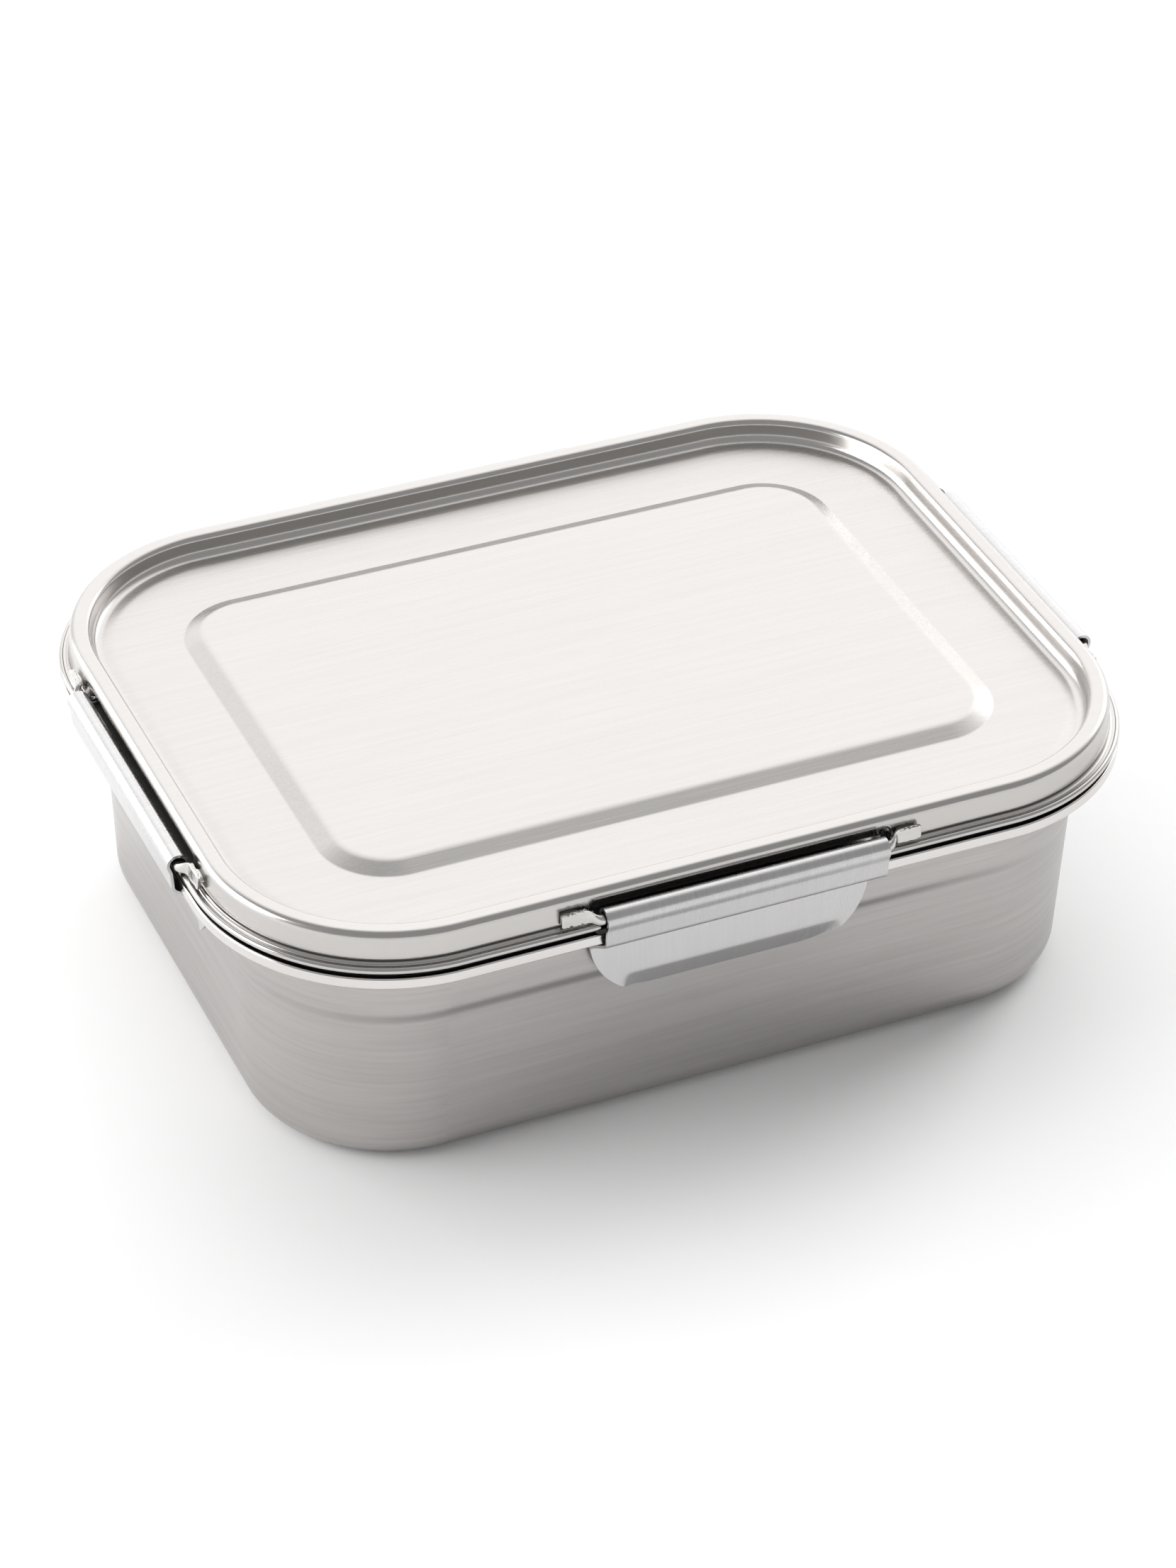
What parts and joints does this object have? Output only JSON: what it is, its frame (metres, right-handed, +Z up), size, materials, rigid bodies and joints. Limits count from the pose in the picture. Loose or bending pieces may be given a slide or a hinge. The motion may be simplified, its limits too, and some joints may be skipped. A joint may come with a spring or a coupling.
{
  "type": "lunch box",
  "caption": "Rectangular stainless steel food box: rimmed tray, pressed lid with raised rim and centre panel, and a sheet-metal snap clip on a wire hinge on each side.",
  "frame": {"origin": "on the underside of the tray, at the centre of the footprint", "axes": "+X along the long side, +Z up; the two long sides and the two short sides are alike"},
  "size_m": [0.2092, 0.1644, 0.0646],
  "materials": {
    "tray_steel": "fine brushed along the long side, polished rolled rim",
    "lid_steel": "fine satin brushed along the long side, polished outer bends",
    "seal_rubber": "soft moulded",
    "wire_steel": "drawn wire, hammered flat and welded at the ends",
    "clip_steel": "satin brushed across the clip, from curl to tab"
  },
  "bodies": {
    "tray": {"tray": "tray_steel"},
    "lid": {"lid": "lid_steel", "lid_seal": "seal_rubber", "wire_front": "wire_steel", "wire_back": "wire_steel", "wire_left": "wire_steel", "wire_right": "wire_steel"},
    "clip_front": {"clip_front": "clip_steel"},
    "clip_back": {"clip_back": "clip_steel"},
    "clip_left": {"clip_left": "clip_steel"},
    "clip_right": {"clip_right": "clip_steel"}
  },
  "joints": [
    {"name": "lid_lift", "type": "slide", "parent": "tray", "child": "lid", "axis": [0, 0, 1], "range_m": [0, 0.0176]},
    {"name": "clip_front_open", "type": "hinge", "parent": "lid", "child": "clip_front", "pos_m": [0, -0.0799, 0.05935], "axis": [-1, 0, 0], "range_deg": [0, 152]},
    {"name": "clip_back_open", "type": "hinge", "parent": "lid", "child": "clip_back", "pos_m": [0, 0.0799, 0.05935], "axis": [1, 0, 0], "range_deg": [0, 152]},
    {"name": "clip_left_open", "type": "hinge", "parent": "lid", "child": "clip_left", "pos_m": [-0.1023, 0, 0.05935], "axis": [0, 1, 0], "range_deg": [0, 152]},
    {"name": "clip_right_open", "type": "hinge", "parent": "lid", "child": "clip_right", "pos_m": [0.1023, 0, 0.05935], "axis": [0, -1, 0], "range_deg": [0, 152]}
  ],
  "couplings": [
    {"joint": "clip_front_open", "follows": "lid_lift", "rad_per_m": 150},
    {"joint": "clip_back_open", "follows": "lid_lift", "rad_per_m": 150},
    {"joint": "clip_left_open", "follows": "lid_lift", "rad_per_m": 150},
    {"joint": "clip_right_open", "follows": "lid_lift", "rad_per_m": 150}
  ]
}
